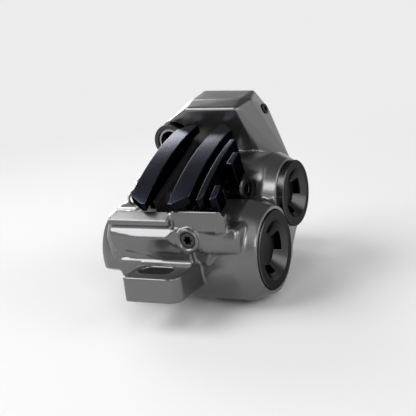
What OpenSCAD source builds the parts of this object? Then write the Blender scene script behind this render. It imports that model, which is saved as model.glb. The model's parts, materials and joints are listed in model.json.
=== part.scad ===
// Four-piston post-mount disc brake caliper for a bicycle.
// X runs across the rotor, towards the bore caps. Y runs from the near ear to the far ear.
// Z runs up along the mounting bolts, and Z = 0 is the face that sits on the frame's posts.
// The pads and pistons lie in a frame tilted about X, the pad frame: c along the pads, n away from the hub.

/* [Pad frame] */
// Tilt of the pads against the mounting face, degrees
pad_tilt = 20.6; // [15:0.1:25]
// Distance along the pads from the origin to the front bore
front_bore_c = -8.3; // [-10:0.1:-7]
// Height of the front bore above the origin
front_bore_n = 10.4; // [9:0.1:12]
// Distance along the pads from the origin to the rear bore
rear_bore_c = 15.4; // [14:0.1:17]
// Height of the rear bore above the origin
rear_bore_n = 14.9; // [14:0.1:17]

/* [Pistons and bores] */
// Diameter of the two front pistons
front_piston_d = 18; // [16:0.5:19]
// Diameter of the two rear pistons
rear_piston_d = 16; // [14:0.5:17]
// Length of a piston
piston_l = 12; // [10:0.5:12.5]
// Wall of a piston's cup
piston_wall = 2.2; // [1.6:0.1:3]
// Radial running clearance of a piston in its bore
piston_clearance = 0.05; // [0.02:0.01:0.1]
// Width of a piston seal's groove
seal_w = 2.2; // [1.6:0.1:2.6]
// Depth of a piston seal's groove below the bore
seal_depth = 1.8; // [1.2:0.1:2]

/* [Bore caps] */
// Diameter of the front bore cap's flange
front_cap_d = 25.3; // [24:0.1:26]
// Diameter of the rear bore cap's flange
rear_cap_d = 21.8; // [21:0.1:22.4]
// Distance from the rotor plane to the face of the front cap
front_cap_x = 29.3; // [28:0.1:31]
// Distance from the rotor plane to the face of the rear cap
rear_cap_x = 29.2; // [28:0.1:31]
// Thickness of a cap's flange
cap_flange_t = 2.2; // [1.6:0.1:2.6]
// Length of a cap below its flange
cap_neck_l = 4.4; // [3.5:0.1:5]
// Depth of a cap's dished face
cap_dish = 3.2; // [2:0.1:3.4]
// Section diameter of a cap's sealing ring
cap_ring_d = 1.6; // [1.2:0.1:1.8]

/* [Pads] */
// Gap from the rotor plane to each friction face
friction_gap = 1.2; // [1.1:0.05:1.5]
// Thickness of the friction material
friction_t = 2.4; // [1.5:0.1:2.6]
// Thickness of a backing plate
plate_t = 2.0; // [1.6:0.1:2.2]
// End of the pads nearest the near ear
pad_near_c = -17.7; // [-17.9:0.1:-17]
// End of the pads nearest the far ear
pad_far_c = 24.2; // [23:0.1:24.4]
// Lower edge of the backing plates
plate_bottom_n = 1.2; // [0:0.1:3]
// Upper edge of a backing plate's body
plate_top_n = 24.4; // [23:0.1:25]
// Width of the wide fin along the rotor axis
band_w = 6.4; // [5.5:0.1:7]
// Gap from the rotor plane to the wide fin
band_gap = 4.0; // [3.7:0.1:5]
// Height of the wide fin's side
band_h = 3.0; // [2.4:0.1:3.4]
// Thickness of a thin fin
fin_t = 2.0; // [1.2:0.1:2.4]
// Distance from the rotor plane to the inner side of the first thin fin
first_fin_x = 13.2; // [12.6:0.1:14]
// Distance from the rotor plane to the inner side of the second thin fin
second_fin_x = 17.7; // [17:0.1:18.2]
// Far end of the first thin fins
first_fin_far_c = 12; // [8:0.5:16]
// Far end of the second thin fins
second_fin_far_c = 4.0; // [3:0.1:7]
// Radius of the fins' crest
crest_r = 95; // [80:1:110]
// Height of the fins' crest
crest_n = 39.6; // [38.6:0.1:40.5]
// Middle of the crest along the pads
crest_c = 1.4; // [1:0.1:4]
// Near end of the wide fins
band_near_c = -20.0; // [-20.4:0.1:-18.5]
// Far end of the wide fins
band_far_c = 23.6; // [22:0.1:24.2]

/* [Pad axle] */
// Diameter of the pad axle
axle_d = 5.0; // [4:0.1:5.4]
// Diameter of the pad axle's head
axle_head_d = 8.0; // [7:0.1:9]
// Length of the pad axle's head
axle_head_l = 6.2; // [5:0.1:7]
// Hexagon socket across its flats
axle_socket_af = 3.0; // [2.5:0.1:4]
// Place of the axle along the pads
axle_c = 2.8; // [2:0.1:4]
// Height of the axle
axle_n = 26.2; // [25.8:0.1:27]

/* [Mounting ears] */
// Distance between the two mounting bolts
bolt_spacing = 74; // [70:0.1:78]
// Thickness of each ear
ear_t = 8; // [6:0.1:9]
// Width of a bolt slot
slot_w = 6.5; // [6.2:0.1:7]
// Length of a bolt slot across the body
slot_l = 12; // [10:0.1:13]
// Distance from the bolt line to an ear's outer face
ear_nose = 7.6; // [6:0.1:8]
// Inboard side of the ears
ear_in_x = -8.3; // [-9:0.1:-7]
// Outboard side of the ears
ear_out_x = 10.8; // [9:0.1:12]

/* [Body] */
// Outer radius of the front piston housings
front_housing_r = 16.5; // [15:0.1:17]
// Outer radius of the rear piston housings
rear_housing_r = 13.6; // [13:0.1:14.2]
// Distance from the rotor plane to the closed inboard end
inboard_end_x = 28.0; // [25:0.1:29]
// Distance from the rotor plane to the closed end of the rear inboard housing
inboard_rear_x = 22.2; // [22:0.1:24]
// Half width of the pad pocket between the housings
pocket_half = 6.2; // [6:0.1:6.6]
// Half width of the rotor slot at the body's ends
rotor_half = 2.6; // [2.2:0.1:3]
// Radius swept by the rotor slot
rotor_slot_r = 81; // [80.5:0.1:81.5]
// Hub axis along the pads
hub_c = 3.6; // [2:0.1:5]
// Hub axis below the origin
hub_n = -57.8; // [-58.5:0.1:-57.5]
// Near wall of the pad window
window_near_c = -18.2; // [-18.6:0.1:-18]
// Far wall of the pad window
window_far_c = 24.7; // [24.6:0.1:25.5]

/* [Ports] */
// Outer diameter of the hose collar
collar_d = 11.8; // [11:0.1:13]
// Bore of the hose collar
collar_bore = 7.0; // [6:0.1:7.6]
// Length of the hose collar in front of the body
collar_l = 5.0; // [4:0.1:6]
// Diameter of the passage plug
plug_d = 4.4; // [4:0.1:5]
// Bore through the bleed nipple
nipple_bore = 1.6; // [1:0.1:2]
// Nipple's hexagon across its flats
nipple_af = 7; // [6:0.1:7.4]

/* [Hidden] */
$fn = 64;

body_grey = [0.5, 0.5, 0.51];
gloss_black = [0.05, 0.05, 0.055];
fin_blue = [0.14, 0.15, 0.2];
bright_steel = [0.75, 0.75, 0.76];
rubber_black = [0.03, 0.03, 0.03];

gap = 0.1;
fit = 0.05;
far = 40;
front_at = [front_bore_c, front_bore_n];
rear_at = [rear_bore_c, rear_bore_n];
axle_at = [axle_c, axle_n];
front_r = front_piston_d / 2;
rear_r = rear_piston_d / 2;
plate_x = friction_gap + friction_t;
plate_out_x = plate_x + plate_t;
piston_x = plate_out_x + gap;
piston_end_x = piston_x + piston_l;
bore_bottom_x = piston_end_x + 2.2;
seal_x = pocket_half + 1.6;
front_neck_r = front_cap_d / 2 - 0.8;
rear_neck_r = rear_cap_d / 2 - 1;
front_flange_x = front_cap_x - cap_flange_t;
rear_flange_x = rear_cap_x - cap_flange_t;
axle_r = axle_d / 2;
lug_in_x = band_gap + band_w + 0.8;
lug_r = 4.9;
head_seat_x = lug_in_x + 1.8;
inboard_lug_x = -18;
axle_tip_x = -20.7;
floor_n = 31.6;
floor_t = 1.4;
room_half = 22;
clip_x = axle_tip_x + 0.7;
clip_wire_r = 0.5;
clip_loop_r = 2.2;
clip_lean = 18;
clip_room = 0.4;
clip_ring_r = axle_r - 0.06 + clip_wire_r;
clip_loop_at = [axle_c - clip_ring_r - clip_loop_r, axle_n - 0.5];

// Turns a shape made in the pad frame into place
module pad_frame() {
    rotate([pad_tilt, 0, 0]) children();
}

// A rod along X between two distances from the rotor plane
module x_rod(x0, x1, r, at = [0, 0]) {
    translate([min(x0, x1), at[0], at[1]]) rotate([0, 90, 0]) cylinder(r = r, h = abs(x1 - x0));
}

// A cone along X
module x_cone(x0, x1, r0, r1, at = [0, 0]) {
    translate([x0, at[0], at[1]]) rotate([0, 90, 0]) cylinder(r1 = r0, r2 = r1, h = x1 - x0);
}

// An outline drawn as (c, n) or (Y, Z), carried along X
module along_x(x0, x1) {
    translate([x0, 0, 0]) rotate([90, 0, 90]) linear_extrude(height = x1 - x0) children();
}

// A rod along Y that starts at the given point and runs towards +Y
module y_rod(at, r, l) {
    translate(at) rotate([-90, 0, 0]) cylinder(r = r, h = l);
}

// A ring of round section about X
module x_ring(x, r, section_r, at) {
    translate([x, at[0], at[1]]) rotate([0, 90, 0])
        rotate_extrude() translate([r, 0]) circle(r = section_r, $fn = 24);
}

// A ring of square section about X
module x_washer(x0, x1, r_in, r_out, at) {
    difference() {
        x_rod(x0, x1, r_out, at);
        x_rod(x0 - 1, x1 + 1, r_in, at);
    }
}

// A block with small round edges through the given corners
module soft_block(corners, r) {
    hull() for (p = corners) translate(p) sphere(r = r, $fn = 16);
}

front_rim_r = front_cap_d / 2 + 1.3;
rear_taper_x = 22.8;
rear_rim_r = rear_cap_d / 2 + 0.5;
front_taper_x = 22.4;
inboard_front_r = front_housing_r - 2.1;
inboard_rear_r = rear_housing_r - 1;
inboard_flat_x = -bore_bottom_x - 1.1;
inboard_top_x = -17.6;
web_in_x = -20;
web_out_x = 12.6;
web_low_x = 26.4;

// A closed inboard housing: its end is rounded in two cones
module inboard_end(x, r, at) {
    x_rod(x + 3, 0, r, at);
    x_cone(x + 1, x + 3, r - 0.9, r, at);
    x_cone(x, x + 1, r - 2.7, r - 0.9, at);
}

// The four round piston housings and the metal between them
module housings() {
    pad_frame() {
        x_rod(0, front_taper_x, front_housing_r, front_at);
        x_cone(front_taper_x, front_cap_x - 0.4, front_housing_r, front_rim_r, front_at);
        x_rod(0, rear_taper_x, rear_housing_r, rear_at);
        x_cone(rear_taper_x, rear_flange_x, rear_housing_r, rear_rim_r, rear_at);
        inboard_end(-inboard_end_x, inboard_front_r, front_at);
        inboard_end(-inboard_rear_x, inboard_rear_r, rear_at);
        along_x(web_in_x, web_out_x) polygon([
            [front_bore_c, front_bore_n - 12], [rear_bore_c, rear_bore_n - 11],
            [rear_bore_c + 12, 25.4], [front_bore_c - 12, 25.4]]);
        along_x(web_out_x - 1, web_low_x) polygon([
            [front_bore_c + 2, front_bore_n - front_housing_r + 0.2],
            [front_bore_c + 12, front_bore_n - front_housing_r + 0.5],
            [front_bore_c + 14.7, front_bore_n - front_housing_r + 2],
            [front_bore_c + 16.9, front_bore_n - front_housing_r + 4.4],
            [rear_bore_c - 2, rear_bore_n - rear_housing_r - 0.8],
            [rear_bore_c + 1, rear_bore_n - rear_housing_r + 0.2],
            [rear_bore_c, 20.6], [front_bore_c, 20.6]]);
    }
}

// The core of the bridge over the rotor at the near end
module near_bridge() {
    soft_block([
        [-14.5, -27.2, 22.2], [19, -27.4, 22.6],
        [-18.4, -29.4, 20], [19.2, -28.9, 19.2],
        [-22.5, -24, 17], [-21.5, -27, 15], [17.2, -27.6, 13],
        [-21, -26, 8], [13, -27.4, 8],
        [-18, -14, 3], [18, -14, 3], [-15, -16, 19], [16, -16, 19]], 1.2);
}

wall_top_y = -28.6;
wall_top_z = 24.9;
lip_end_x = 3.6;
lip_y = -32.2;
lip_z = 22.2;
wall_end_x = 21.2;
wall_steep_y = -29.8;
wall_foot_y = -30.9;
wall_foot_z = 19;
bulge_y = -33.2;
bulge_z = 17;
crease_x = -8;

// The outer face of the near wall, as (Y, Z) outlines carried along X and trimmed in plan
module near_wall() {
    // Sloped lip over the inboard half
    intersection() {
        along_x(-19, lip_end_x) polygon([
            [wall_top_y, wall_top_z], [lip_y, lip_z], [lip_y, lip_z - 1.5],
            [lip_y + 0.9, lip_z - 2.2], [-26, lip_z - 3], [-26, wall_top_z]]);
        linear_extrude(height = far) polygon([
            [lip_end_x, -25], [-14.2, -25], [-15, wall_top_y], [-17.6, lip_y + 1.6],
            [-18.2, lip_y], [lip_end_x, lip_y]]);
    }
    // Steeper wall over the outboard half
    intersection() {
        along_x(lip_end_x - 1, wall_end_x) polygon([
            [wall_steep_y, wall_top_z], [wall_foot_y, wall_foot_z],
            [wall_foot_y + 0.6, wall_foot_z - 1], [-26, wall_foot_z - 1], [-26, wall_top_z]]);
        linear_extrude(height = far) polygon([
            [lip_end_x - 1, -25], [lip_end_x - 1, wall_top_y], [lip_end_x + 1.4, wall_foot_y - 0.2],
            [wall_end_x - 2.4, wall_foot_y - 0.2], [wall_end_x, -28.8], [wall_end_x, -25]]);
    }
    // Bulge under the lip, creased where it turns towards the inboard side
    intersection() {
        along_x(-19, 7) polygon([
            [-26, lip_z - 2], [lip_y + 0.7, lip_z - 2.8], [bulge_y, bulge_z],
            [-30.9, 11.6], [-26, 9.5]]);
        linear_extrude(height = far) polygon([
            [-19, -25], [-18.3, bulge_y + 0.9], [crease_x, bulge_y], [2.6, bulge_y],
            [6.6, wall_foot_y], [6.6, -25]]);
    }
    // Web from the bulge down to the ear, lower towards the outboard side
    translate([0, -26, 0]) rotate([90, 0, 0]) linear_extrude(height = 4.9) polygon([
        [-11.5, 11.2], [9.5, 7.8], [9.5, 13], [-11.5, 13]]);
    // Foot of the inboard side, curved up to the web
    translate([0, -24, 0]) rotate([90, 0, 0]) linear_extrude(height = 6.4) polygon([
        [-18.6, 8], [-15.8, 8], [-15, 9.4], [-13.6, 10.6], [-11.5, 11.2], [-11.5, 14], [-18.6, 14]]);
}

// The flat-fronted block on the front housing, turned a little outwards
module front_block() {
    soft_block([
        [13, -28.6, 17.8], [23, -26, 16.8], [13, -28.9, 15.5], [23, -26.7, 15],
        [13, -28.6, 13], [23, -26.2, 12.2],
        [13, -18, 18.6], [23.4, -18, 17.6], [13, -14, 4], [23.4, -14, 4]], 2);
}

// The tall bridge over the rotor at the far end
module far_block() {
    soft_block([
        [-7.6, 9.6, 47.8], [10.3, 9.6, 47.6],
        [-15.1, 11.4, 43.4], [-19.6, 14.7, 34.5], [-19.8, 19, 23],
        [10.3, 15.1, 33.4], [12.2, 16.4, 48.9], [14, 17, 30],
        [-7.6, 14, 49.3], [10.6, 14, 49.3],
        [-7.2, 23, 50.5], [10.4, 23.5, 50],
        [-14, 23.2, 46.7], [-19.4, 23.6, 42],
        [13.6, 25.6, 44], [19.8, 25.6, 26], [-18.8, 25.6, 26], [-19.4, 25, 38],
        [-18, 24, 15], [18, 24, 15]], 1.2);
}

// The arm that carries the far ear
module far_arm() {
    y = bolt_spacing / 2 - 7.5;
    soft_block([
        [ear_in_x + 1.5, y, 1.5], [ear_out_x - 1.5, y, 1.5],
        [ear_in_x + 1.5, y, 8.6], [ear_out_x - 1.5, y, 8.6],
        [-15, 22, 26], [16, 22, 26], [-15, 17, 8], [16, 17, 8]], 1.5);
}

ear_corner_in = 1.6;
ear_corner_out = 4;
ear_w = ear_out_x - ear_in_x;
ear_nose_y = -bolt_spacing / 2 - ear_nose;

// An ear seen along the bolt, with its nose towards -Y and its bolt slot along X
module ear_outline(root_y) {
    l = root_y - ear_nose_y;
    difference() {
        union() {
            translate([ear_in_x + ear_corner_in, ear_nose_y])
                square([ear_w - ear_corner_in - ear_corner_out, l]);
            translate([ear_in_x, ear_nose_y + ear_corner_in])
                square([ear_corner_in + 1, l - ear_corner_in]);
            translate([ear_out_x - ear_corner_out - 1, ear_nose_y + ear_corner_out])
                square([ear_corner_out + 1, l - ear_corner_out]);
            translate([ear_in_x + ear_corner_in, ear_nose_y + ear_corner_in]) circle(r = ear_corner_in);
            translate([ear_out_x - ear_corner_out, ear_nose_y + ear_corner_out]) circle(r = ear_corner_out);
        }
        translate([0, -bolt_spacing / 2]) bolt_slot();
    }
}

// The slot for one mounting bolt
module bolt_slot() {
    half = (slot_l - slot_w) / 2;
    square([2 * half, slot_w], center = true);
    translate([-half, 0]) circle(r = slot_w / 2);
    translate([half, 0]) circle(r = slot_w / 2);
}

// The mouth of the hose port, its collar's place and its drilling
hose_x = -14.8;
hose_z = 37.6;
hose_y = 12.2;
hose_thread_r = 4.6;
drilling_r = 1.2;
cross_y = 23;
hose_drill_l = cross_y - hose_y + 1;

// The plug in the near wall, in its raised ring
plug_x = 9.2;
plug_y = -31.2;
plug_z = 15.9;
plug_head_r = 2.3;
plug_head_t = 0.8;
plug_l = 7;
plug_ring_r = 3.9;
plug_ring_y = plug_y - 0.8;

// The small plug that closes the cross drilling at the far bridge's outboard side
end_plug_x = 15;
end_plug_z = 45;
end_plug_r = 1.6;
end_plug_l = 4;
cross_angle = atan2(end_plug_z - hose_z, end_plug_x - hose_x);
cross_l = norm([end_plug_x - hose_x, end_plug_z - hose_z]);

// The bleed nipple behind the far bridge
nipple_x = 11;
nipple_y = 27.2;
nipple_z = 24.5;
nipple_r = 3;
nipple_ring_t = 0.8;
nipple_thread_l = 5;

// Something drawn along Z, laid along the cross drilling from the hose port's end
module on_cross_drilling() {
    translate([hose_x, cross_y, hose_z]) rotate([0, 90 - cross_angle, 0]) children();
}

module ports() {
    // Spot face for the hose collar, its thread and the drillings that start there
    y_rod([hose_x, hose_y - 2 * collar_l, hose_z], collar_d / 2 + gap, 2 * collar_l);
    y_rod([hose_x, hose_y - 1, hose_z], hose_thread_r + 0.02, 5.4);
    y_rod([hose_x, hose_y, hose_z], drilling_r, hose_drill_l);
    on_cross_drilling() {
        cylinder(r = drilling_r, h = cross_l);
        translate([0, 0, cross_l - end_plug_l]) cylinder(r = end_plug_r + fit, h = 3 * end_plug_l);
        translate([0, 0, cross_l + 0.3]) cylinder(r = end_plug_r + 0.7, h = 2 * end_plug_l);
    }
    y_rod([nipple_x, nipple_y - nipple_thread_l - 0.6, nipple_z], nipple_r + fit, 20);
    y_rod([nipple_x, nipple_y, nipple_z], nipple_boss_r + 0.4, 20);
    cross_n = hose_z + (nipple_x - hose_x) * tan(cross_angle);
    translate([nipple_x, cross_y, nipple_z]) cylinder(r = drilling_r, h = cross_n - nipple_z);
    y_rod([plug_x, plug_ring_y - 10, plug_z], plug_ring_r + 1.2, 10);
    translate([plug_x, plug_ring_y - 0.01, plug_z]) rotate([-90, 0, 0])
        cylinder(r1 = plug_ring_r - 0.8, r2 = plug_head_r + 0.1, h = plug_y - plug_ring_y + 0.01);
    y_rod([plug_x, plug_y - 0.1, plug_z], plug_head_r + 0.1, plug_head_t + 0.2);
    y_rod([plug_x, plug_y, plug_z], plug_d / 2 + fit, plug_l + 0.6);
    y_rod([plug_x, plug_y, plug_z], drilling_r, plug_l + 6);
    // Drillings that join the front and rear bores on each side
    link_angle = atan2(rear_bore_n - front_bore_n, rear_bore_c - front_bore_c);
    link_l = norm(rear_at - front_at);
    pad_frame() for (x = [piston_end_x + 1.1, -piston_end_x - 1.1])
        translate([x, front_bore_c, front_bore_n]) rotate([link_angle, 0, 0])
            y_rod([0, 0, 0], 1, link_l);
}

// The four piston bores with their seal grooves, and the seats of the two caps
module bores() {
    pad_frame() {
        for (side = [1, -1]) {
            x_rod(0, side * bore_bottom_x, front_r + piston_clearance, front_at);
            x_rod(0, side * bore_bottom_x, rear_r + piston_clearance, rear_at);
            x_rod(side * seal_x, side * (seal_x + seal_w), front_r + seal_depth, front_at);
            x_rod(side * seal_x, side * (seal_x + seal_w), rear_r + seal_depth, rear_at);
        }
        x_rod(bore_bottom_x, front_flange_x, front_r + piston_clearance, front_at);
        x_rod(front_flange_x - cap_neck_l, front_flange_x, front_neck_r + fit, front_at);
        x_rod(front_flange_x, far, front_cap_d / 2 + gap, front_at);
        x_rod(bore_bottom_x, rear_flange_x, rear_r + piston_clearance, rear_at);
        x_rod(rear_flange_x - cap_neck_l, rear_flange_x, rear_neck_r + fit, rear_at);
        x_rod(rear_flange_x, far, rear_cap_d / 2 + 0.2, rear_at);
    }
}

module caliper_body() {
    color(body_grey) difference() {
        union() {
            difference() {
                union() {
                    housings();
                    near_bridge();
                    near_wall();
                    front_block();
                    far_block();
                    far_arm();
                    linear_extrude(height = ear_t) ear_outline(-24);
                    // Round step where the ear's top meets the wall
                    along_x(2 * ear_in_x, ear_out_x - 1) polygon([
                        [-31.2, ear_t - 0.5], [-31.2, ear_t + 0.3], [-30.7, ear_t + 0.9],
                        [-29.8, ear_t + 1.2], [-26, ear_t + 1.2], [-26, ear_t - 0.5]]);
                    // Fillet from the step up to the web
                    along_x(-12.8, 8) polygon([
                        [-30.6, ear_t + 0.5], [-30.2, ear_t + 3.6], [-26, ear_t + 3.6], [-26, ear_t + 0.5]]);
                }
                // Flat underside and top of the inboard end
                along_x(-far, inboard_top_x) polygon([
                    [-28, 21.2], [-16, 20.4], [-11.4, 19.6], [-7, 21.5], [-7, far], [-28, far]]);
                along_x(-far, inboard_flat_x) polygon([
                    [-34, 7], [-22, 1.5], [-11.4, -3.4], [10, -3.4], [10, -far], [-34, -far]]);
                pad_frame() {
                    translate([-pocket_half, window_near_c, -far])
                        cube([2 * pocket_half, window_far_c - window_near_c, 3 * far]);
                    translate([-room_half, window_near_c - 0.5, floor_n - 0.35])
                        cube([2 * room_half, window_far_c - window_near_c + 0.5, far]);
                    x_rod(-rotor_half, rotor_half, rotor_slot_r, [hub_c, hub_n]);
                    x_rod(head_seat_x, far, axle_head_d / 2 + 0.6, axle_at);
                }
            }
            mirror([0, 1, 0]) linear_extrude(height = ear_t) ear_outline(-29);
            pad_frame() {
                x_rod(lug_in_x, head_seat_x, lug_r, axle_at);
                x_rod(inboard_lug_x, -lug_in_x, lug_r - 0.3, axle_at);
            }
            y_rod([hose_x, hose_y, hose_z], hose_boss_r, 8);
            y_rod([nipple_x, nipple_y - nipple_thread_l, nipple_z], nipple_boss_r, nipple_thread_l);
            y_rod([plug_x, plug_ring_y, plug_z], plug_ring_r, 4);
        }
        bores();
        ports();
        pad_frame() {
            x_rod(-far, far, axle_r + fit, axle_at);
            // Room for the axle's tip and its clip
            x_rod(-far, clip_x + 1, axle_r + 2 * clip_wire_r + clip_room, axle_at);
            x_rod(-far, clip_x + 1, clip_loop_r + clip_wire_r + clip_room, clip_loop_at);
        }
    }
}

hose_boss_r = 6.6;
nipple_boss_r = 4.9;

// The flat disc, the dish around it and the key slots between them, as shares of a cap's radius
disc_share = 0.4;
dish_share = 0.76;
slot_share = 0.6;
slot_phase = -12;
slot_half_angle = 28;
slot_depth = 0.9;

// A bore cap: flange, threaded neck with a ring groove, dished face with three key slots
module bore_cap(face_x, d, neck_r, at) {
    flange_x = face_x - cap_flange_t;
    r = d / 2;
    ring_x = flange_x - cap_neck_l / 2;
    disc_r = disc_share * r;
    dish_r = dish_share * r;
    difference() {
        union() {
            x_rod(flange_x, face_x - 0.3, r, at);
            x_cone(face_x - 0.3, face_x, r, r - 0.3, at);
            x_rod(flange_x - cap_neck_l, flange_x, neck_r, at);
        }
        x_washer(ring_x - 1, ring_x + 1, neck_r - cap_ring_d + 0.1, neck_r + 1, at);
        x_rod(flange_x - cap_neck_l - 1, flange_x - 2.8, neck_r - 3.4, at);
        x_cone(face_x - cap_dish, face_x + 0.01, disc_r, dish_r, at);
        x_rod(face_x - 0.01, face_x + 1, dish_r, at);
        for (k = [0, 1, 2]) translate([face_x - cap_dish - slot_depth, at[0], at[1]])
            rotate([slot_phase + 120 * k, 0, 0]) rotate([90, 0, 90]) linear_extrude(height = 4)
                intersection() {
                    difference() {
                        circle(r = slot_share * r);
                        circle(r = disc_r);
                    }
                    polygon([[0, 0], [2 * r, -2 * r * tan(slot_half_angle)],
                        [2 * r, 2 * r * tan(slot_half_angle)]]);
                }
    }
}

module front_bore_cap() {
    color(gloss_black) pad_frame() bore_cap(front_cap_x, front_cap_d, front_neck_r, front_at);
}

module rear_bore_cap() {
    color(gloss_black) pad_frame() bore_cap(rear_cap_x, rear_cap_d, rear_neck_r, rear_at);
}

// A cap's sealing ring lies in the neck's groove, just clear of the bore
module cap_seal(flange_x, neck_r, at) {
    section_r = cap_ring_d / 2 - 0.06;
    x_ring(flange_x - cap_neck_l / 2, neck_r + fit - section_r - 0.02, section_r, at);
}

module front_cap_seal() {
    color(rubber_black) pad_frame() cap_seal(front_flange_x, front_neck_r, front_at);
}

module rear_cap_seal() {
    color(rubber_black) pad_frame() cap_seal(rear_flange_x, rear_neck_r, rear_at);
}

// A piston is a cup whose rim pushes on the pad's plate
module piston(r, at) {
    difference() {
        union() {
            x_cone(piston_x, piston_x + 0.5, r - 0.4, r, at);
            x_rod(piston_x + 0.5, piston_end_x - 0.8, r, at);
            x_cone(piston_end_x - 0.8, piston_end_x, r, r - 0.8, at);
        }
        x_rod(piston_x - 1, piston_end_x - 3, r - piston_wall, at);
    }
}

module outboard_front_piston() {
    color(bright_steel) pad_frame() piston(front_r, front_at);
}

module outboard_rear_piston() {
    color(bright_steel) pad_frame() piston(rear_r, rear_at);
}

module inboard_front_piston() {
    color(bright_steel) mirror([1, 0, 0]) pad_frame() piston(front_r, front_at);
}

module inboard_rear_piston() {
    color(bright_steel) mirror([1, 0, 0]) pad_frame() piston(rear_r, rear_at);
}

// A piston seal fills its groove and ends flush with the bore
module piston_seal(r, at) {
    x_washer(seal_x + 0.02, seal_x + seal_w - 0.02, r + piston_clearance, r + seal_depth - 0.02, at);
}

module outboard_front_seal() {
    color(rubber_black) pad_frame() piston_seal(front_r, front_at);
}

module outboard_rear_seal() {
    color(rubber_black) pad_frame() piston_seal(rear_r, rear_at);
}

module inboard_front_seal() {
    color(rubber_black) mirror([1, 0, 0]) pad_frame() piston_seal(front_r, front_at);
}

module inboard_rear_seal() {
    color(rubber_black) mirror([1, 0, 0]) pad_frame() piston_seal(rear_r, rear_at);
}

neck_near_c = -13.5;
neck_far_c = 18.5;
neck_top_n = 33;

// A steel backing plate with the neck that carries the fins and slides on the axle
module backplate() {
    difference() {
        along_x(plate_x, plate_out_x) polygon([
            [pad_near_c + 2.5, plate_bottom_n], [pad_far_c - 2.5, plate_bottom_n],
            [pad_far_c, plate_bottom_n + 2.5], [pad_far_c, plate_top_n - 2],
            [pad_far_c - 2, plate_top_n], [neck_far_c, plate_top_n],
            [neck_far_c, neck_top_n], [neck_near_c, neck_top_n],
            [neck_near_c, plate_top_n], [pad_near_c + 2, plate_top_n],
            [pad_near_c, plate_top_n - 2], [pad_near_c, plate_bottom_n + 2.5]]);
        x_rod(0, far, axle_r + 0.1, axle_at);
    }
}

module outboard_backplate() {
    color([0.3, 0.3, 0.31]) pad_frame() backplate();
}

module inboard_backplate() {
    color([0.3, 0.3, 0.31]) mirror([1, 0, 0]) pad_frame() backplate();
}

friction_top_n = 22.4;

// The friction block, split by one shallow groove for dust
module friction() {
    difference() {
        along_x(friction_gap, plate_x) polygon([
            [pad_near_c + 3, plate_bottom_n + 1], [pad_far_c - 3, plate_bottom_n + 1],
            [pad_far_c - 1, plate_bottom_n + 3], [pad_far_c - 1, friction_top_n - 2],
            [pad_far_c - 3, friction_top_n], [pad_near_c + 3, friction_top_n],
            [pad_near_c + 1, friction_top_n - 2], [pad_near_c + 1, plate_bottom_n + 3]]);
        translate([0, hub_c - 0.7, 0]) cube([friction_gap + 1.4, 1.4, far]);
    }
}

module outboard_friction() {
    color([0.24, 0.21, 0.18]) pad_frame() friction();
}

module inboard_friction() {
    color([0.24, 0.21, 0.18]) mirror([1, 0, 0]) pad_frame() friction();
}

// The crest profile of the fins above a level, as (c, n)
module crest(bottom_n) {
    intersection() {
        translate([crest_c, crest_n - crest_r]) circle(r = crest_r, $fn = 180);
        translate([-far, bottom_n]) square([2 * far, far]);
    }
}

band_out_x = band_gap + band_w;

// The finned heat sink on a pad: wall on the neck, wide fin and floor, and on one pad two thin fins
module radiator(thin_fins) {
    wall_t = 1.8;
    floor_end_x = thin_fins ? second_fin_x + fin_t : band_out_x + 0.6;
    // Wide fin with its corners cut back
    intersection() {
        difference() {
            along_x(band_gap, band_out_x) crest(floor_n);
            along_x(0, far) translate([crest_c, crest_n - crest_r]) circle(r = crest_r - band_h, $fn = 180);
        }
        linear_extrude(height = 2 * far) polygon([
            [band_gap, band_near_c], [band_gap + 1.6, band_near_c],
            [band_out_x, band_near_c + 3.2], [band_out_x, band_far_c - 4.3],
            [band_gap + 2.4, band_far_c], [band_gap, band_far_c]]);
    }
    // Wall that hangs on the plate's neck
    along_x(plate_out_x, plate_out_x + wall_t) intersection() {
        crest(29.8);
        translate([neck_near_c, 29.8]) square([neck_far_c - neck_near_c, far]);
    }
    // Floor and thin fins
    intersection() {
        union() {
            along_x(plate_out_x, floor_end_x) translate([-far, floor_n]) square([2 * far, floor_t]);
            if (thin_fins) {
                along_x(first_fin_x, first_fin_x + fin_t) crest(floor_n);
                along_x(second_fin_x, second_fin_x + fin_t) crest(floor_n);
            }
        }
        linear_extrude(height = 2 * far) radiator_plan();
    }
}

first_fin_near_c = -18.2;
second_fin_near_c = -18;
head_gap_near_c = -12;
head_gap_far_c = -2.2;

// The floor's outline seen from above: it steps back outwards and is open over the axle's head
module radiator_plan() {
    difference() {
        polygon([
            [plate_out_x, neck_near_c], [first_fin_x - 2, neck_near_c],
            [first_fin_x, first_fin_near_c], [first_fin_x + 0.6, first_fin_near_c],
            [first_fin_x + fin_t, first_fin_near_c + 1.2], [second_fin_x, second_fin_near_c + 1.2],
            [second_fin_x, second_fin_near_c], [second_fin_x + 0.6, second_fin_near_c],
            [second_fin_x + fin_t, second_fin_near_c + 1.2],
            [second_fin_x + fin_t, second_fin_far_c], [second_fin_x, second_fin_far_c],
            [first_fin_x + fin_t, second_fin_far_c + 2], [first_fin_x + fin_t, first_fin_far_c],
            [first_fin_x, first_fin_far_c], [plate_out_x, neck_far_c]]);
        translate([first_fin_x + fin_t + 0.6, head_gap_near_c])
            square([10, head_gap_far_c - head_gap_near_c]);
    }
}

module outboard_radiator() {
    color(fin_blue) pad_frame() radiator(true);
}

module inboard_radiator() {
    color(fin_blue) mirror([1, 0, 0]) pad_frame() radiator(false);
}

spring_x = 3.3;
spring_t = 0.4;
spring_bottom_n = 22.9;
spring_top_n = 31.2;

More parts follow.
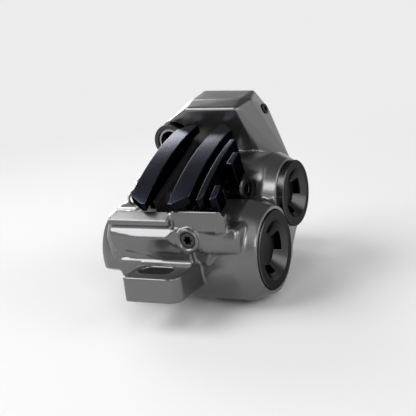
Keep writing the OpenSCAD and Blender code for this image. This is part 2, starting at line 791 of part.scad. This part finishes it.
// A bent sheet spring that straddles the rotor's edge and rides on the axle
module pad_spring() {
    color(bright_steel) pad_frame() difference() {
        union() {
            for (side = [0, 1]) mirror([side, 0, 0])
                along_x(spring_x - spring_t, spring_x) polygon([
                    [-12, spring_bottom_n + 1], [-5, spring_bottom_n + 1], [-4, 24.8], [9, 24.8],
                    [10, spring_bottom_n + 1], [17, spring_bottom_n + 1], [17, 25.2],
                    [11, spring_top_n], [-6, spring_top_n], [-12, 25.2]]);
            along_x(-spring_x, spring_x) polygon([
                [-6, spring_top_n - spring_t], [11, spring_top_n - spring_t],
                [11, spring_top_n], [-6, spring_top_n]]);
        }
        x_rod(-far, far, axle_r + 0.15, axle_at);
    }
}

// The axle: screwed into the outboard lug, with a hexagon socket head and a clip groove at its tip
module pad_axle() {
    head_end_x = head_seat_x + axle_head_l;
    color(gloss_black) pad_frame() difference() {
        union() {
            x_cone(axle_tip_x, axle_tip_x + 0.5, axle_r - 0.5, axle_r, axle_at);
            x_rod(axle_tip_x + 0.5, head_seat_x + 1, axle_r, axle_at);
            x_rod(head_seat_x, head_end_x - 0.6, axle_head_d / 2, axle_at);
            x_cone(head_end_x - 0.6, head_end_x, axle_head_d / 2, axle_head_d / 2 - 0.6, axle_at);
        }
        translate([head_end_x - 3, axle_c, axle_n]) rotate([0, 90, 0])
            cylinder(r = axle_socket_af / sqrt(3), h = 4, $fn = 6);
        x_washer(clip_x - clip_wire_r, clip_x + clip_wire_r, axle_r - 0.5, axle_r + 1, axle_at);
    }
}

// The wire clip in the axle's groove: an open ring with a finger loop that leans outward
module axle_clip() {
    color(bright_steel) pad_frame() {
        difference() {
            x_ring(clip_x, clip_ring_r, clip_wire_r, axle_at);
            translate([clip_x - 2, axle_c + 1, axle_n - 1.2]) cube([4, 4, 2.4]);
        }
        translate([clip_x, axle_c - clip_ring_r, axle_n - 0.5]) rotate([0, 0, -clip_lean])
            x_ring(0, clip_loop_r, clip_wire_r, [-clip_loop_r, 0]);
    }
}

collar_flange_y = hose_y - collar_l;
seat_r = 4.25;
seat_depth = 3;

// The hose port's collar, with the seat ring's recess and a groove for its sealing ring
module hose_collar() {
    color(gloss_black) difference() {
        union() {
            y_rod([hose_x, collar_flange_y, hose_z], collar_d / 2, collar_l);
            y_rod([hose_x, hose_y, hose_z], hose_thread_r, 4);
        }
        y_rod([hose_x, collar_flange_y - 1, hose_z], collar_bore / 2, 20);
        y_rod([hose_x, collar_flange_y - 1, hose_z], seat_r, seat_depth + 1);
        difference() {
            y_rod([hose_x, hose_y + 1.2, hose_z], hose_thread_r + 1, 1.2);
            y_rod([hose_x, hose_y + 1, hose_z], hose_thread_r - 0.6, 2);
        }
    }
}

module hose_seat() {
    color(bright_steel) difference() {
        y_rod([hose_x, collar_flange_y + 0.5, hose_z], seat_r - 0.02, seat_depth - 0.5);
        y_rod([hose_x, collar_flange_y, hose_z], collar_bore / 2, 10);
    }
}

module hose_o_ring() {
    color(rubber_black) translate([hose_x, hose_y + 1.8, hose_z]) rotate([90, 0, 0])
        rotate_extrude() translate([hose_thread_r - 0.29, 0]) circle(r = 0.28, $fn = 24);
}

plug_lobe_r = 0.42;
plug_socket_r = 1.1;

// A flush plug with a six-lobe socket
module passage_plug() {
    color(gloss_black) difference() {
        union() {
            y_rod([plug_x, plug_y, plug_z], plug_head_r, plug_head_t);
            y_rod([plug_x, plug_y + plug_head_t, plug_z], plug_d / 2, plug_l - plug_head_t);
        }
        y_rod([plug_x, plug_y - 1, plug_z], plug_socket_r, 3);
        for (k = [0:5]) translate([plug_x, 0, plug_z]) rotate([0, 60 * k, 0])
            y_rod([plug_socket_r, plug_y - 1, 0], plug_lobe_r, 3);
    }
}

// A small headless plug with a hexagon socket
module end_plug() {
    color(gloss_black) on_cross_drilling() difference() {
        translate([0, 0, cross_l - end_plug_l]) cylinder(r = end_plug_r, h = end_plug_l);
        translate([0, 0, cross_l - 1.6]) cylinder(r = 0.9, h = 3, $fn = 6);
    }
}

nipple_hex_l = 3.2;
nipple_barb_l = 4.8;
nipple_hex_y = nipple_y + nipple_ring_t + 0.05;

// The bleed nipple: thread, hexagon, barbed end and a bore right through
module bleed_nipple() {
    hex_end = nipple_hex_y + nipple_hex_l;
    at = [nipple_x, 0, nipple_z];
    color(bright_steel) difference() {
        union() {
            y_rod(at + [0, nipple_y - nipple_thread_l, 0], nipple_r, nipple_thread_l + 1);
            translate(at + [0, nipple_hex_y, 0]) rotate([-90, 0, 0])
                cylinder(r = nipple_af / sqrt(3), h = nipple_hex_l, $fn = 6);
            y_rod(at + [0, hex_end, 0], 2, nipple_barb_l);
            translate(at + [0, hex_end + nipple_barb_l - 2.6, 0]) rotate([-90, 0, 0])
                cylinder(r1 = 2.5, r2 = 1.8, h = 2.6);
        }
        y_rod(at + [0, nipple_y - nipple_thread_l - 1, 0], nipple_bore / 2, 30);
    }
}

module nipple_seat_ring() {
    color(bright_steel) difference() {
        y_rod([nipple_x, nipple_y, nipple_z], nipple_boss_r - 0.5, nipple_ring_t);
        y_rod([nipple_x, nipple_y - 1, nipple_z], nipple_r + fit, 4);
    }
}

// The rubber cap over the nipple's barb
module bleed_cap() {
    y0 = nipple_hex_y + nipple_hex_l + 0.3;
    l = nipple_barb_l + 1.2;
    color(rubber_black) difference() {
        union() {
            y_rod([nipple_x, y0, nipple_z], 3.9, 1.4);
            y_rod([nipple_x, y0, nipple_z], 3.4, l);
        }
        y_rod([nipple_x, y0 - 1, nipple_z], 2.6, nipple_barb_l + 1.1);
    }
}

caliper_body();
front_bore_cap();
rear_bore_cap();
front_cap_seal();
rear_cap_seal();
outboard_front_piston();
outboard_rear_piston();
inboard_front_piston();
inboard_rear_piston();
outboard_front_seal();
outboard_rear_seal();
inboard_front_seal();
inboard_rear_seal();
outboard_backplate();
inboard_backplate();
outboard_friction();
inboard_friction();
outboard_radiator();
inboard_radiator();
pad_spring();
pad_axle();
axle_clip();
hose_collar();
hose_seat();
hose_o_ring();
passage_plug();
end_plug();
bleed_nipple();
nipple_seat_ring();
bleed_cap();
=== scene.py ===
import json
from math import cos, pi, radians, sin

import bmesh
import bpy
from mathutils import Matrix, Vector

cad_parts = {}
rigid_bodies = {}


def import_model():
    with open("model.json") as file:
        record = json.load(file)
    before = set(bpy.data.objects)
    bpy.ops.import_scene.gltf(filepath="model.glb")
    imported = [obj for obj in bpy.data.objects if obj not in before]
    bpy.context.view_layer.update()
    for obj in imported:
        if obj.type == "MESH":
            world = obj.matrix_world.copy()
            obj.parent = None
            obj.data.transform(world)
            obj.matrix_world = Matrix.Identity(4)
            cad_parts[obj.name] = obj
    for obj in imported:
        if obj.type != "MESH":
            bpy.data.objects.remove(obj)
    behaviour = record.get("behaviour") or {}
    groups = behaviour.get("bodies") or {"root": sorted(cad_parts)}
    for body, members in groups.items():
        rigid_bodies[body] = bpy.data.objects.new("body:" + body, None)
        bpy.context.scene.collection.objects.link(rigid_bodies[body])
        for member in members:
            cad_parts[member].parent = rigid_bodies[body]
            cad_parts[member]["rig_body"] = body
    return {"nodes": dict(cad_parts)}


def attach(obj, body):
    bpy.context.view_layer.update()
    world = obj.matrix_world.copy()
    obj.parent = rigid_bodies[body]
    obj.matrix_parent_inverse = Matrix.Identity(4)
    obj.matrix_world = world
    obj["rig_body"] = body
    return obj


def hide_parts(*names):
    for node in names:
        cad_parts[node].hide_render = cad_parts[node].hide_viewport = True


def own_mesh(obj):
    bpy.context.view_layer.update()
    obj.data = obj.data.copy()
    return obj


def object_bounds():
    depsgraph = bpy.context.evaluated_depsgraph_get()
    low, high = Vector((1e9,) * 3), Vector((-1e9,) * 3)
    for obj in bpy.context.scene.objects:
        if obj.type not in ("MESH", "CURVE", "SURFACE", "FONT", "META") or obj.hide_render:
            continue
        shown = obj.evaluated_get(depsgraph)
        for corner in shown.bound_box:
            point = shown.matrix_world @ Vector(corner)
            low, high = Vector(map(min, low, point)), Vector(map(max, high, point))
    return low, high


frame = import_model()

cad_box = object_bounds()
scene = bpy.context.scene
scene.view_settings.view_transform = "Standard"

# The camera stands in front of the near ear, a little above the caliper and tipped
# to one side, as a product photographer would hold it.
camera_place = (0.174498, -0.318467, 0.119424)
camera_axes = Matrix((
    (0.887246, 0.444978, -0.12161),
    (-0.018771, 0.298236, 0.954308),
    (0.460914, -0.844423, 0.272962)))
camera_data = bpy.data.cameras.new("camera")
camera_data.lens = 97.73
camera_data.sensor_width = 36
camera_data.clip_start = 0.01
camera_data.clip_end = 50
camera = bpy.data.objects.new("camera", camera_data)
camera.matrix_world = Matrix.Translation(camera_place) @ camera_axes.transposed().to_4x4()
scene.collection.objects.link(camera)
scene.camera = camera

# A plain pale table top lies under the caliper's lowest housing. It is matt card that
# takes the soft shadow, and further out it runs into the evenly lit studio sweep.
table_tone = 0.76
table_half_width = 6
table_drop = 0.0004
sweep_tone = 0.84
sweep_start, sweep_full = 0.09, 0.3


def new_object(name, mesh):
    """Puts a mesh into the scene as an object at the origin."""
    made = bpy.data.objects.new(name, mesh)
    scene.collection.objects.link(made)
    return made


def shader(name):
    """A new node material: the material, a maker of nodes, a linker and its shader node."""
    material = bpy.data.materials.new(name)
    material.use_nodes = True
    tree = material.node_tree
    surface = tree.nodes["Principled BSDF"]

    def add(kind, **values):
        node = tree.nodes.new(kind)
        for key, value in values.items():
            if hasattr(node, key):
                setattr(node, key, value)
            else:
                node.inputs[key.replace("_", " ").title()].default_value = value
        return node

    return material, add, tree.links.new, surface


table_material, add, link, surface = shader("pale_card")
surface.inputs["Base Color"].default_value = (table_tone, table_tone, table_tone, 1)
surface.inputs["Roughness"].default_value = 0.9
surface.inputs["Specular IOR Level"].default_value = 0.1
place = add("ShaderNodeTexCoord")
distance = add("ShaderNodeVectorMath", operation="LENGTH")
fade = add("ShaderNodeMapRange", interpolation_type="SMOOTHSTEP")
fade.inputs["From Min"].default_value = sweep_start
fade.inputs["From Max"].default_value = sweep_full
rays = add("ShaderNodeLightPath")
seen = add("ShaderNodeMath", operation="MAXIMUM")
seen_too = add("ShaderNodeMath", operation="MAXIMUM")
shown = add("ShaderNodeMath", operation="MULTIPLY")
sweep = add("ShaderNodeEmission")
sweep.inputs["Color"].default_value = (sweep_tone, sweep_tone, sweep_tone, 1)
blend = add("ShaderNodeMixShader")
link(place.outputs["Object"], distance.inputs[0])
link(distance.outputs["Value"], fade.inputs["Value"])
link(rays.outputs["Is Camera Ray"], seen.inputs[0])
link(rays.outputs["Is Glossy Ray"], seen.inputs[1])
link(seen.outputs["Value"], seen_too.inputs[0])
link(rays.outputs["Is Transmission Ray"], seen_too.inputs[1])
link(seen_too.outputs["Value"], shown.inputs[0])
link(fade.outputs["Result"], shown.inputs[1])
link(shown.outputs["Value"], blend.inputs[0])
link(surface.outputs["BSDF"], blend.inputs[1])
link(sweep.outputs["Emission"], blend.inputs[2])
link(blend.outputs["Shader"], table_material.node_tree.nodes["Material Output"].inputs["Surface"])
table_mesh = bpy.data.meshes.new("table_top")
shape = bmesh.new()
bmesh.ops.create_grid(shape, x_segments=1, y_segments=1, size=table_half_width)
bmesh.ops.translate(shape, verts=shape.verts, vec=(0, 0, cad_box[0][2] - table_drop))
shape.to_mesh(table_mesh)
shape.free()
table_top = new_object("table_top", table_mesh)
table_mesh.materials.append(table_material)

# The light is that of a small product studio: a broad box high on the near inboard side,
# an upright box behind, one on the cap side, a narrow strip overhead and a small box by
# the camera, in a room that is pale near the table's level and dim overhead.
lamp_distance = 0.9
aim_height = 0.018
overhead_tone = 0.14
pale_up_to, dim_above = radians(8), radians(30)


def soft_box(name, heading, height, size, tone):
    """A rectangular studio lamp that faces the caliper, placed by its compass and height angles."""
    lamp = bpy.data.lights.new(name, "AREA")
    lamp.shape = "RECTANGLE"
    lamp.size, lamp.size_y = size
    lamp.energy = tone * pi * size[0] * size[1]
    stand = bpy.data.objects.new(name, lamp)
    level = cos(radians(height))
    stand.location = (lamp_distance * level * cos(radians(heading)),
                      lamp_distance * level * sin(radians(heading)),
                      aim_height + lamp_distance * sin(radians(height)))
    aim = Vector((0, 0, aim_height)) - stand.location
    stand.rotation_euler = aim.to_track_quat("-Z", "Y").to_euler()
    scene.collection.objects.link(stand)


soft_box("key_box", heading=-147, height=46, size=(0.84, 0.48), tone=5.6)
soft_box("rim_box", heading=138, height=20, size=(0.4, 0.64), tone=5.0)
soft_box("cap_side_box", heading=2, height=27, size=(0.6, 0.46), tone=2.6)
soft_box("high_strip", heading=-60, height=64, size=(0.2, 0.7), tone=1.6)
soft_box("near_box", heading=-48, height=30, size=(0.3, 0.3), tone=7.0)
room = bpy.data.worlds.new("room")
scene.world = room
room.use_nodes = True
tree = room.node_tree
direction = tree.nodes.new("ShaderNodeTexCoord")
upward = tree.nodes.new("ShaderNodeSeparateXYZ")
walls = tree.nodes.new("ShaderNodeMapRange")
walls.interpolation_type = "SMOOTHSTEP"
walls.inputs["From Min"].default_value = sin(pale_up_to)
walls.inputs["From Max"].default_value = sin(dim_above)
walls.inputs["To Min"].default_value = sweep_tone
walls.inputs["To Max"].default_value = overhead_tone
tree.links.new(direction.outputs["Generated"], upward.inputs["Vector"])
tree.links.new(upward.outputs["Z"], walls.inputs["Value"])
tree.links.new(walls.outputs["Result"], tree.nodes["Background"].inputs["Color"])

# The body is one forging of light alloy, machined inside, blasted to a fine satin
# grain and clear-coated. Every outer edge and root is generously rounded.
pad_turn = Matrix.Rotation(radians(20.6), 3, "X")
rear_bore = pad_turn @ Vector((0, 0.0154, 0.0149))
barrel_profile = ((0.0204, 0.0113), (0.0204, 0.0136), (0.0228, 0.0136),
                  (0.0269, 0.01145), (0.0269, 0.0113))
web_corners = ((-0.0152, -0.0302, 0.0084), (-0.0116, -0.0304, 0.0084),
               (-0.0128, -0.0302, 0.0116), (-0.0116, -0.0302, 0.0116),
               (-0.0128, -0.0265, 0.0116), (-0.0116, -0.0265, 0.0116),
               (-0.0152, -0.0265, 0.0084), (-0.0116, -0.0265, 0.0084))
same_point = 2e-6
flat_within = radians(0.6)
rounding_voxel = 0.00037
rounding_passes = 6
kept_faces = 0.4


def merged_copy(node, name):
    """A copy of a CAD piece with its loose triangles joined, riding where the piece rides."""
    mesh = frame["nodes"][node].data.copy()
    mesh.name = name
    mesh.materials.clear()
    shape = bmesh.new()
    shape.from_mesh(mesh)
    bmesh.ops.remove_doubles(shape, verts=shape.verts, dist=same_point)
    bmesh.ops.dissolve_limit(shape, angle_limit=flat_within, verts=shape.verts,
                             edges=shape.edges)
    shape.to_mesh(mesh)
    shape.free()
    copy = new_object(name, mesh)
    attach(copy, frame["nodes"][node]["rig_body"])
    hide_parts(node)
    return copy


def apply_modifiers(piece):
    """Makes a piece's modifiers part of its mesh."""
    scene.view_layers[0].update()
    shaped = piece.evaluated_get(bpy.context.evaluated_depsgraph_get())
    mesh = bpy.data.meshes.new_from_object(shaped)
    old = piece.data
    piece.modifiers.clear()
    piece.data = mesh
    bpy.data.meshes.remove(old)
    mesh.name = piece.name


def finished(piece, material):
    """Gives a piece its material."""
    piece.data.materials.append(material)


def grain(add, link, surface, scale, depth, gloss, detail=2.0):
    """Fine grain in the surface and an uneven gloss in broad patches, both from solid noise."""
    grains_per_patch = 50
    place = add("ShaderNodeTexCoord")
    noise = add("ShaderNodeTexNoise", scale=scale, detail=detail)
    bump = add("ShaderNodeBump", strength=1.0, distance=depth)
    link(place.outputs["Object"], noise.inputs["Vector"])
    link(noise.outputs["Fac"], bump.inputs["Height"])
    link(bump.outputs["Normal"], surface.inputs["Normal"])
    cloud = add("ShaderNodeTexNoise", scale=scale / grains_per_patch, detail=5.0)
    spread = add("ShaderNodeMapRange")
    spread.inputs["From Min"].default_value = 0.3
    spread.inputs["From Max"].default_value = 0.7
    spread.inputs["To Min"].default_value, spread.inputs["To Max"].default_value = gloss
    link(place.outputs["Object"], cloud.inputs["Vector"])
    link(cloud.outputs["Fac"], spread.inputs["Value"])
    link(spread.outputs["Result"], surface.inputs["Roughness"])
    return place


def worn_edges(add, link, surface, place, tone, bare, reach, amount=0.8):
    """Lets paler metal show along the edges in an uneven line, where handling rubs them."""
    unworn, fully_worn = 0.985, 0.88
    turned = add("ShaderNodeBevel", samples=6, radius=reach)
    flat = add("ShaderNodeNewGeometry")
    agree = add("ShaderNodeVectorMath", operation="DOT_PRODUCT")
    edge = add("ShaderNodeMapRange")
    edge.inputs["From Min"].default_value = unworn
    edge.inputs["From Max"].default_value = fully_worn
    edge.inputs["To Max"].default_value = amount
    rub = add("ShaderNodeTexNoise", scale=700.0, detail=3.0)
    uneven = add("ShaderNodeMath", operation="MULTIPLY")
    mix = add("ShaderNodeMix", data_type="RGBA")
    # A Mix node's colour inputs are its sockets 6 and 7, and its colour output is socket 2
    mix.inputs[6].default_value = tone + (1,)
    mix.inputs[7].default_value = bare + (1,)
    link(turned.outputs["Normal"], agree.inputs[0])
    link(flat.outputs["Normal"], agree.inputs[1])
    link(agree.outputs["Value"], edge.inputs["Value"])
    link(place.outputs["Object"], rub.inputs["Vector"])
    link(edge.outputs["Result"], uneven.inputs[0])
    link(rub.outputs["Fac"], uneven.inputs[1])
    link(uneven.outputs["Value"], mix.inputs[0])
    link(mix.outputs[2], surface.inputs["Base Color"])


body_metal, add, link, surface = shader("blasted_alloy")
surface.inputs["Metallic"].default_value = 0.88
surface.inputs["Coat Weight"].default_value = 0.4
surface.inputs["Coat Roughness"].default_value = 0.09
place = grain(add, link, surface, scale=5200, depth=0.000012, gloss=(0.27, 0.3))
worn_edges(add, link, surface, place, tone=(0.15, 0.15, 0.153), bare=(0.3, 0.3, 0.3),
           reach=0.0004, amount=0.4)
forged_body = merged_copy("caliper_body", "forged_body")
shape = bmesh.new()
shape.from_mesh(forged_body.data)
# The rear housing's barrel is turned true outside the pocket of the axle's head
rim = [shape.verts.new(rear_bore + Vector((x, 0, r))) for x, r in barrel_profile]
loop = [shape.edges.new((a, b)) for a, b in zip(rim, rim[1:] + rim[:1])]
bmesh.ops.spin(shape, geom=rim + loop, cent=rear_bore, axis=(1, 0, 0), angle=2 * pi,
               steps=96, use_merge=True)
bmesh.ops.remove_doubles(shape, verts=shape.verts, dist=1e-6)
# A small web closes the root of the near ear at its inboard end
corners = [shape.verts.new(corner) for corner in web_corners]
bmesh.ops.convex_hull(shape, input=corners)
bmesh.ops.recalc_face_normals(shape, faces=shape.faces)
shape.to_mesh(forged_body.data)
shape.free()
remesh = forged_body.modifiers.new("remesh", "REMESH")
remesh.mode = "VOXEL"
remesh.voxel_size = rounding_voxel
rounding = forged_body.modifiers.new("rounding", "SMOOTH")
rounding.factor = 0.5
rounding.iterations = rounding_passes
thinning = forged_body.modifiers.new("thinning", "DECIMATE")
thinning.ratio = kept_faces
apply_modifiers(forged_body)
forged_body.data.shade_smooth()
finished(forged_body, body_metal)

# Each outboard bore is closed by a screwed-in cap, turned from alloy bar and
# anodised gloss black, with three kidney slots for its key.
cap_edge = 0.00025


def eased(piece, width, sharp=35):
    """Breaks a piece's edges with a small round, as deburring does."""
    bevel = piece.modifiers.new("eased_edges", "BEVEL")
    bevel.width = width
    bevel.segments = 3
    bevel.limit_method = "ANGLE"
    bevel.angle_limit = radians(sharp)
    bevel.use_clamp_overlap = True
    bevel.miter_outer = "MITER_ARC"
    even = piece.modifiers.new("even_normals", "WEIGHTED_NORMAL")
    even.keep_sharp = False
    piece.data.shade_smooth()
    apply_modifiers(piece)


black_metal, add, link, surface = shader("black_anodised")
surface.inputs["Metallic"].default_value = 1.0
surface.inputs["Specular Tint"].default_value = (0.4, 0.4, 0.4, 1)
place = grain(add, link, surface, scale=4000, depth=0.000003, gloss=(0.21, 0.25))
worn_edges(add, link, surface, place, tone=(0.06, 0.06, 0.062), bare=(0.3, 0.3, 0.3),
           reach=0.00025)
for node, name in (("front_bore_cap", "front_cap"), ("rear_bore_cap", "rear_cap")):
    cap = merged_copy(node, name)
    eased(cap, cap_edge)
    finished(cap, black_metal)

# Rubber rings seal the body, round ones under the caps and the hose collar and square
# ones round the pistons. The bleed nipple's pull-off cap is moulded from rubber too.
rubber_tone = (0.018, 0.018, 0.019, 1)


def coated(node, material):
    """Puts a material on a CAD piece that keeps its own mesh."""
    mesh = frame["nodes"][node].data
    mesh.materials.clear()
    mesh.materials.append(material)


rubber, add, link, surface = shader("seal_rubber")
surface.inputs["Base Color"].default_value = rubber_tone
grain(add, link, surface, scale=3000, depth=0.00001, gloss=(0.54, 0.68))
for node in ("front_cap_seal", "rear_cap_seal", "outboard_front_seal", "outboard_rear_seal",
             "inboard_front_seal", "inboard_rear_seal", "hose_o_ring", "bleed_cap"):
    coated(node, rubber)

# The four pistons are cups of pale filled resin, ground smooth. Each slides in its
# bore in the body, and pushes on the back of its pad.
resin, add, link, surface = shader("piston_resin")
surface.inputs["Base Color"].default_value = (0.5, 0.46, 0.39, 1)
grain(add, link, surface, scale=1800, depth=0.000006, gloss=(0.24, 0.36))
for side in ("outboard", "inboard"):
    for end in ("front", "rear"):
        coated(side + "_" + end + "_piston", resin)

# The heat sinks are extruded and milled alloy, pressed on the necks of the two pads.
# They are anodised blue-black with rubbed edges. The outward crest faces keep that tone, and every
# other face, sides and channels, is a much darker copy of it: painted shade.
crest_height = 0.0352
crest_slope = 0.6
fin_metal, add, link, surface = shader("fin_anodised")
surface.inputs["Metallic"].default_value = 1.0
place = grain(add, link, surface, scale=5200, depth=0.00001, gloss=(0.2, 0.24))
worn_edges(add, link, surface, place, tone=(0.05, 0.055, 0.08), bare=(0.34, 0.34, 0.35),
           reach=0.0003)
# The much darker copy of the fin finish, painted shade for the fin sides and channels
fin_painted_shade, add, link, surface = shader("fin_sides_painted_shade")
surface.inputs["Metallic"].default_value = 1.0
surface.inputs["Specular Tint"].default_value = (0.2, 0.2, 0.21, 1)
place = grain(add, link, surface, scale=3000, depth=0.00001, gloss=(0.3, 0.42))
worn_edges(add, link, surface, place, tone=(0.009, 0.0095, 0.013), bare=(0.3, 0.3, 0.31),
           reach=0.0002, amount=0.9)
outward = pad_turn @ Vector((0, 0, 1))
for node, name in (("outboard_radiator", "outboard_fins"), ("inboard_radiator", "inboard_fins")):
    fins = merged_copy(node, name)
    eased(fins, 0.00028, sharp=25)
    finished(fins, fin_metal)
    fins.data.materials.append(fin_painted_shade)
    # Faces high on the crest and turned outward keep the anodised tone, all others take the painted
    # shade
    for face in fins.data.polygons:
        crest_keeps_lit_tone = (face.center.dot(outward) > crest_height
                    and face.normal.dot(outward) > crest_slope)
        face.material_index = 0 if crest_keeps_lit_tone else 1

# Each pad is a stamped steel plate, coated black, with a moulded friction block
# bonded to it.
plate_coat, add, link, surface = shader("plate_coating")
surface.inputs["Base Color"].default_value = (0.025, 0.025, 0.028, 1)
surface.inputs["Metallic"].default_value = 0.3
grain(add, link, surface, scale=2600, depth=0.00002, gloss=(0.42, 0.58))
friction_mix, add, link, surface = shader("friction_compound")
place = grain(add, link, surface, scale=1500, depth=0.00012, gloss=(0.78, 0.92), detail=4.0)
flakes = add("ShaderNodeTexVoronoi", scale=2600)
ramp = add("ShaderNodeValToRGB")
copper_flake, dark_resin = ramp.color_ramp.elements
copper_flake.color = (0.28, 0.17, 0.08, 1)
copper_flake.position = 0.08
dark_resin.color = (0.07, 0.06, 0.055, 1)
dark_resin.position = 0.24
link(place.outputs["Object"], flakes.inputs["Vector"])
link(flakes.outputs["Distance"], ramp.inputs["Fac"])
link(ramp.outputs["Color"], surface.inputs["Base Color"])
for side in ("outboard", "inboard"):
    plate = merged_copy(side + "_backplate", side + "_plate")
    eased(plate, 0.0003)
    finished(plate, plate_coat)
    block = merged_copy(side + "_friction", side + "_block")
    eased(block, 0.00025)
    finished(block, friction_mix)

# A bent sheet of spring steel keeps the pads apart. It straddles the axle, and on the caliper it
# squeezes flat towards the rotor plane as the pads close; this copy is left in its rest shape.
bright_steel, add, link, surface = shader("bright_steel")
surface.inputs["Metallic"].default_value = 1.0
surface.inputs["Base Color"].default_value = (0.62, 0.61, 0.59, 1)
grain(add, link, surface, scale=2600, depth=0.000004, gloss=(0.18, 0.3))
spring = merged_copy("pad_spring", "spring_sheet")
finished(spring, bright_steel)
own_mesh(spring)

# The pads hang on a black steel axle, screwed into the outboard lug and kept by a
# clip of bright wire in the groove at its tip.
axle = merged_copy("pad_axle", "axle_pin")
eased(axle, 0.0002, sharp=30)
finished(axle, black_metal)
coated("axle_clip", bright_steel)

# The hose port's collar is turned and blackened, and screws into the body round a
# plain steel seat ring. The washer under the bleed nipple is of the same steel.
collar = merged_copy("hose_collar", "port_collar")
eased(collar, 0.0003)
finished(collar, black_metal)
dull_steel, add, link, surface = shader("dull_steel")
surface.inputs["Metallic"].default_value = 1.0
surface.inputs["Base Color"].default_value = (0.3, 0.29, 0.285, 1)
grain(add, link, surface, scale=2600, depth=0.000004, gloss=(0.22, 0.34))
for node in ("hose_seat", "nipple_seat_ring"):
    coated(node, dull_steel)

# A black countersunk screw with a six-lobe socket plugs the drilling in the near wall,
# and a small headless screw plugs the cross drilling of the far bridge.
for node, name in (("passage_plug", "passage_screw"), ("end_plug", "cross_screw")):
    plug = merged_copy(node, name)
    eased(plug, 0.00012)
    finished(plug, black_metal)

# The bleed nipple is a small screw of plated steel, turned from bar. It screws into
# the back of the far bridge, on its washer.
nipple = merged_copy("bleed_nipple", "nipple_screw")
eased(nipple, 0.00004)
finished(nipple, bright_steel)
